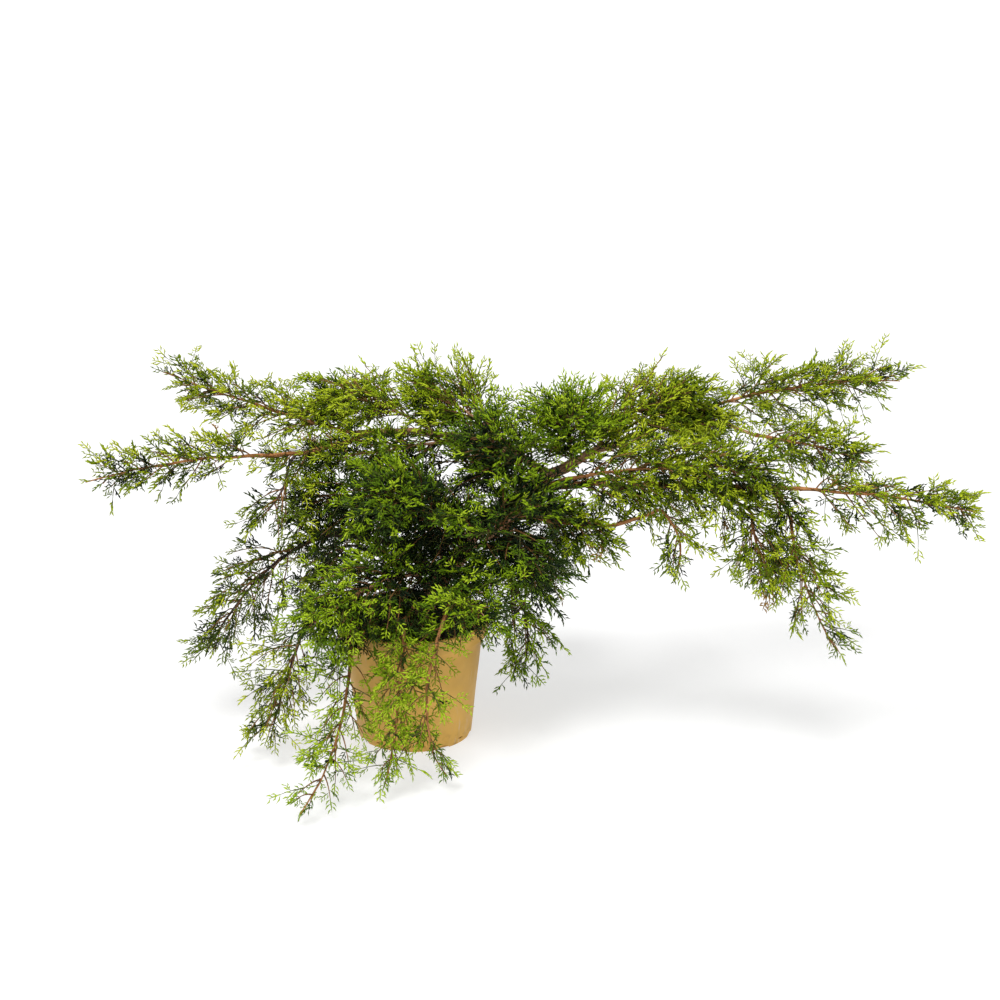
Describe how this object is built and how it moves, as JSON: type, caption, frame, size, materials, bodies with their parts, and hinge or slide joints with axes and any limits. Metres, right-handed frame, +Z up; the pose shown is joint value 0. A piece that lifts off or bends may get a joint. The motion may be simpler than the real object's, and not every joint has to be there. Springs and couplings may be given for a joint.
{
  "type": "potted spreading juniper",
  "caption": "Spreading evergreen shrub with a leaning trunk, long side arms and weeping sprays of fine scale foliage, in a round tapered nursery pot that stands on its flat base.",
  "frame": {"origin": "middle of the pot's flat underside, on the surface that the pot stands on", "axes": "+Z up, +X along the longer arms of the crown, -Y towards the front of the plant"},
  "size_m": [1.0924, 0.5882, 0.4937],
  "materials": {
    "pot_plastic": "moulded, dull",
    "potting_soil": "loose dark compost",
    "bark": "rough peeling bark",
    "foliage_fresh": "young yellow-green",
    "foliage_mid": "mid green",
    "foliage_deep": "shaded deep green"
  },
  "bodies": {
    "root": {"pot": "pot_plastic", "soil": "potting_soil", "trunk": "bark", "bough_left": "bark", "bough_left_low": "bark", "bough_left_drop": "bark", "bough_left_top": "bark", "bough_top_centre": "bark", "bough_right_high": "bark", "bough_right_fork": "bark", "bough_crown_right": "bark", "bough_right": "bark", "bough_right_up": "bark", "bough_right_drop": "bark", "bough_right_inner_drop": "bark", "bough_right_low": "bark", "bough_left_weeping": "bark", "bough_left_weeping_low": "bark", "bough_trail_left": "bark", "bough_trail_middle": "bark", "bough_trail_right": "bark", "bough_right_weeping": "bark", "bough_back_left": "bark", "bough_back": "bark", "bough_back_right": "bark", "foliage_left_high_arm": "foliage_fresh", "foliage_left_top": "foliage_fresh", "foliage_top_centre": "foliage_fresh", "foliage_crown_right": "foliage_fresh", "foliage_right_high_arm": "foliage_fresh", "foliage_front_left": "foliage_fresh", "foliage_front_right": "foliage_fresh", "foliage_front_trail_left": "foliage_fresh", "foliage_front_trail_middle": "foliage_fresh", "foliage_front_trail_right": "foliage_fresh", "foliage_left_low_arm": "foliage_mid", "foliage_crown_centre": "foliage_mid", "foliage_body_front": "foliage_mid", "foliage_body_low": "foliage_mid", "foliage_junction": "foliage_mid", "foliage_high_under": "foliage_mid", "foliage_right_fork": "foliage_mid", "foliage_right_arm": "foliage_mid", "foliage_right_middle": "foliage_mid", "foliage_right_drop": "foliage_mid", "foliage_right_inner_drop": "foliage_mid", "foliage_right_low": "foliage_mid", "foliage_under_middle": "foliage_mid", "foliage_left_under": "foliage_mid", "foliage_left_trailing": "foliage_mid", "foliage_right_weeping": "foliage_mid", "foliage_back": "foliage_mid", "foliage_left_hanging": "foliage_deep", "foliage_inner": "foliage_deep", "foliage_body_left": "foliage_deep", "foliage_body_centre": "foliage_deep", "foliage_body_right": "foliage_deep", "foliage_left_weeping": "foliage_deep", "foliage_back_left": "foliage_deep", "foliage_back_right": "foliage_deep"}
  },
  "joints": []
}
